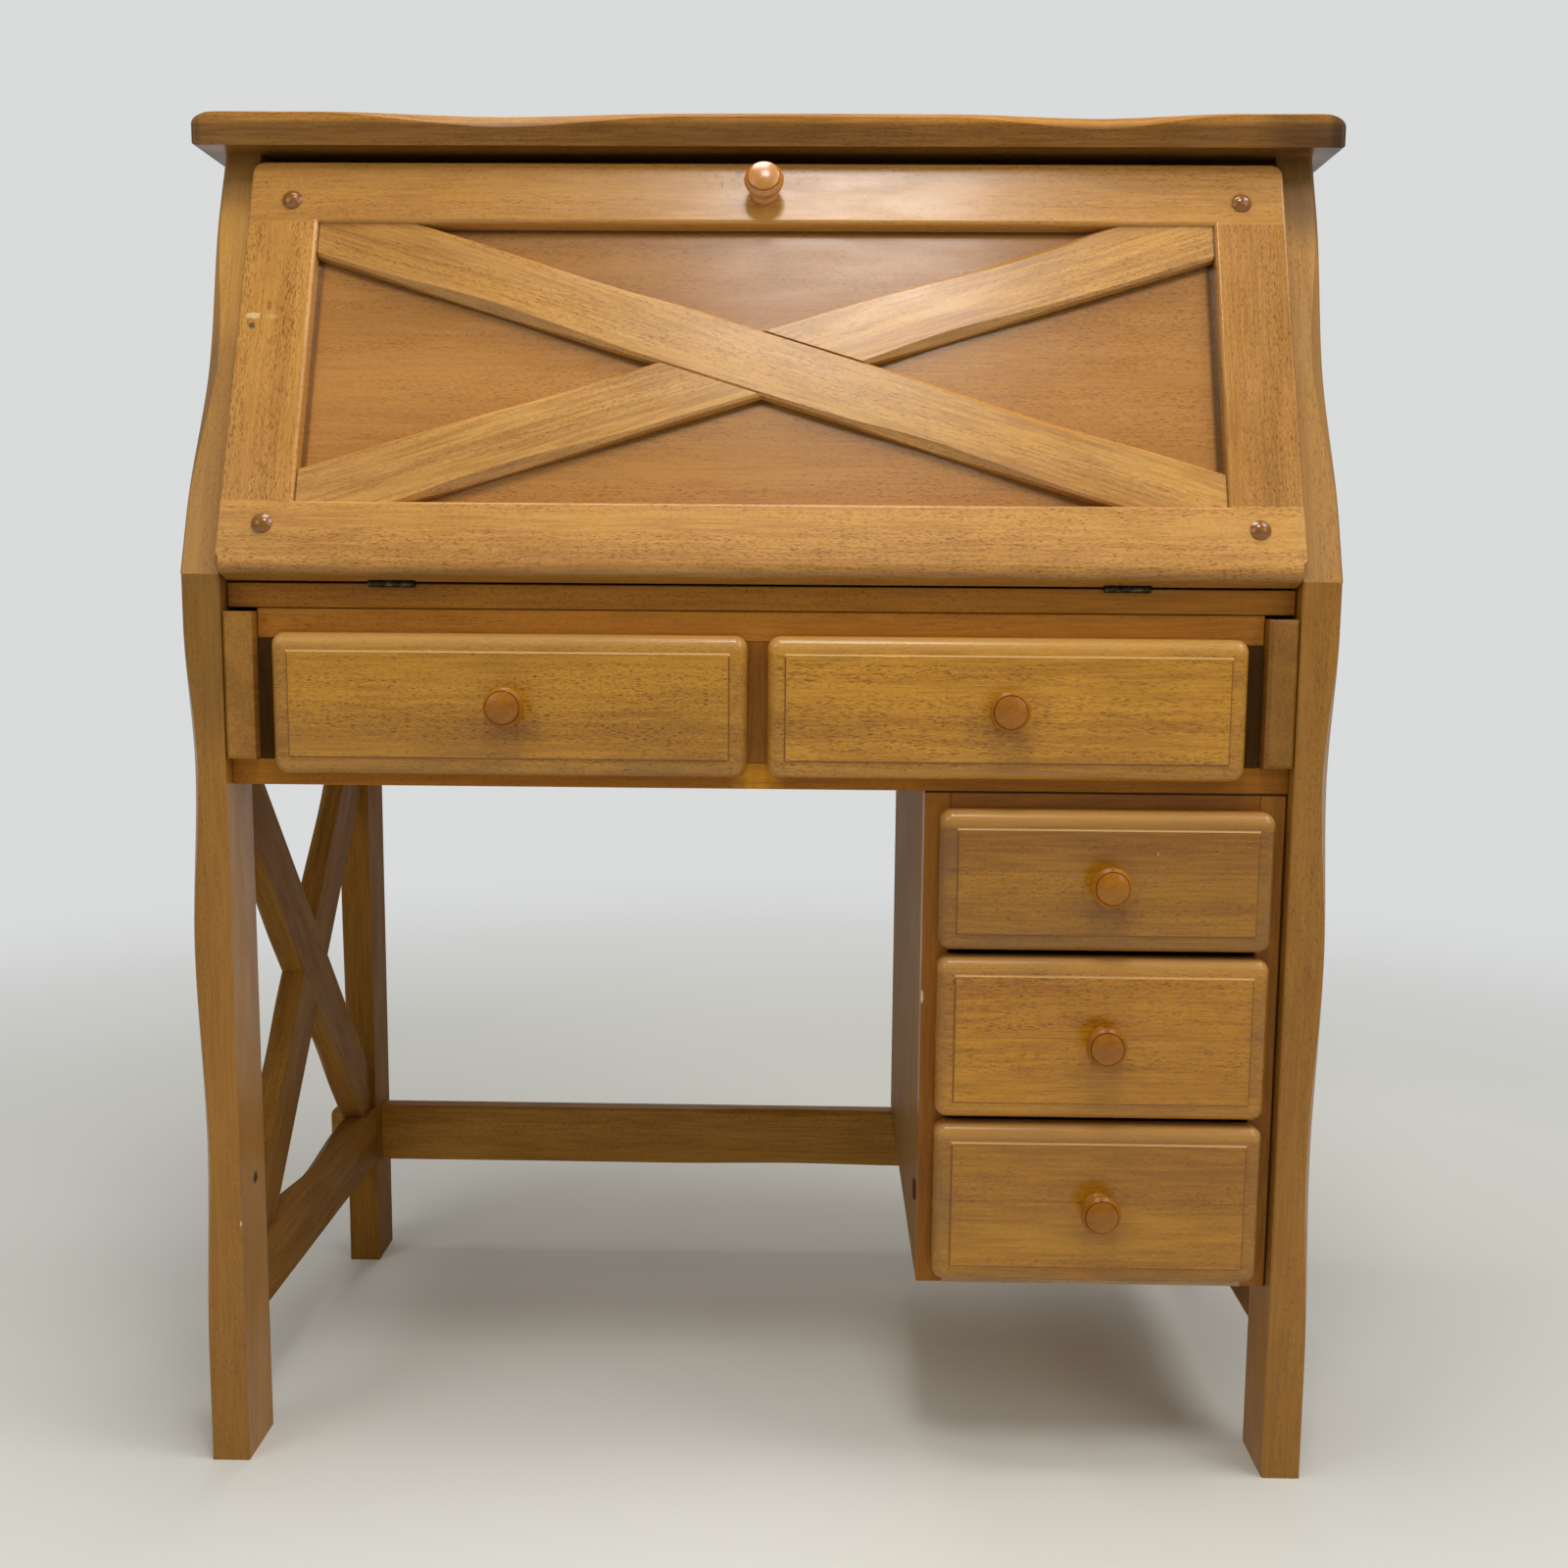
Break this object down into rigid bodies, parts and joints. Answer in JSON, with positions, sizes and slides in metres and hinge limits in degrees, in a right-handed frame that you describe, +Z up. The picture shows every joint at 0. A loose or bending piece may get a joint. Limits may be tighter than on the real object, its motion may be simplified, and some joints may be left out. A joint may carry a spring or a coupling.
{
  "type": "slant-front writing bureau",
  "caption": "Country slant-front writing bureau: leaning hinged flap with crossed boards, wide drawers over a knee space, a drawer pedestal at the right and pull-out flap supports.",
  "frame": {"origin": "on the floor, under the middle of the bounding box", "axes": "+X to the right of a person facing the desk, +Y to the back, +Z up"},
  "size_m": [0.951, 0.484, 1.106],
  "materials": {
    "frame_wood": "honey-brown stain with short dark pores under a semi-gloss lacquer, arrises hewn",
    "face_wood": "redder brown stain, semi-gloss lacquer",
    "inner_wood": "plain pale wood, lightly sealed",
    "drawer_wood": "honey-brown stain, borders toned darker, semi-gloss lacquer",
    "turned_wood": "turned, orange-brown gloss lacquer",
    "hinge_metal": "dark bronzed brass, worn"
  },
  "bodies": {
    "carcass": {"left_front_leg": "frame_wood", "right_front_leg": "frame_wood", "left_rear_leg": "frame_wood", "right_rear_leg": "frame_wood", "left_slant_stile": "frame_wood", "right_slant_stile": "frame_wood", "top_board": "frame_wood", "left_side_panel": "frame_wood", "right_side_panel": "frame_wood", "side_middle_rails": "frame_wood", "side_lower_rails": "frame_wood", "left_brace_falling": "frame_wood", "left_brace_rising": "frame_wood", "right_brace_falling": "frame_wood", "right_brace_rising": "frame_wood", "rear_stretcher": "frame_wood", "desk_board": "face_wood", "drawer_top_rail": "face_wood", "drawer_bottom_rail": "face_wood", "centre_divider": "face_wood", "loper_guides": "face_wood", "pedestal_left_panel": "face_wood", "pedestal_right_panel": "face_wood", "pedestal_stiles": "face_wood", "pedestal_top_rail": "face_wood", "back_panel": "inner_wood", "case_bottom": "inner_wood", "pedestal_bottom": "inner_wood", "pedestal_back": "inner_wood", "pedestal_runners": "inner_wood", "gallery": "inner_wood", "desk_hinge_leaves": "hinge_metal", "hinge_pins": "hinge_metal"},
    "flap": {"flap_top_rail": "frame_wood", "flap_bottom_rail": "frame_wood", "flap_left_stile": "frame_wood", "flap_right_stile": "frame_wood", "flap_diagonal_falling": "frame_wood", "flap_diagonal_rising": "frame_wood", "flap_panel": "face_wood", "flap_plugs": "turned_wood", "flap_knob": "turned_wood", "flap_hinge_leaves": "hinge_metal"},
    "left_loper": {"left_loper": "frame_wood"},
    "right_loper": {"right_loper": "frame_wood"},
    "left_drawer": {"left_drawer_front": "drawer_wood", "left_drawer_box": "inner_wood", "left_drawer_knob": "turned_wood"},
    "right_drawer": {"right_drawer_front": "drawer_wood", "right_drawer_box": "inner_wood", "right_drawer_knob": "turned_wood"},
    "upper_drawer": {"upper_drawer_front": "drawer_wood", "upper_drawer_box": "inner_wood", "upper_drawer_knob": "turned_wood"},
    "middle_drawer": {"middle_drawer_front": "drawer_wood", "middle_drawer_box": "inner_wood", "middle_drawer_knob": "turned_wood"},
    "lower_drawer": {"lower_drawer_front": "drawer_wood", "lower_drawer_box": "inner_wood", "lower_drawer_knob": "turned_wood"}
  },
  "joints": [
    {"name": "flap_hinge", "type": "hinge", "parent": "carcass", "child": "flap", "pos_m": [0, -0.2001, 0.7265], "axis": [1, 0, 0], "range_deg": [0, 110.35]},
    {"name": "left_loper_slide", "type": "slide", "parent": "carcass", "child": "left_loper", "axis": [0, -1, 0], "range_m": [0, 0.25]},
    {"name": "right_loper_slide", "type": "slide", "parent": "carcass", "child": "right_loper", "axis": [0, -1, 0], "range_m": [0, 0.25]},
    {"name": "left_drawer_slide", "type": "slide", "parent": "carcass", "child": "left_drawer", "axis": [0, -1, 0], "range_m": [0, 0.25]},
    {"name": "right_drawer_slide", "type": "slide", "parent": "carcass", "child": "right_drawer", "axis": [0, -1, 0], "range_m": [0, 0.25]},
    {"name": "upper_drawer_slide", "type": "slide", "parent": "carcass", "child": "upper_drawer", "axis": [0, -1, 0], "range_m": [0, 0.25]},
    {"name": "middle_drawer_slide", "type": "slide", "parent": "carcass", "child": "middle_drawer", "axis": [0, -1, 0], "range_m": [0, 0.25]},
    {"name": "lower_drawer_slide", "type": "slide", "parent": "carcass", "child": "lower_drawer", "axis": [0, -1, 0], "range_m": [0, 0.25]}
  ]
}
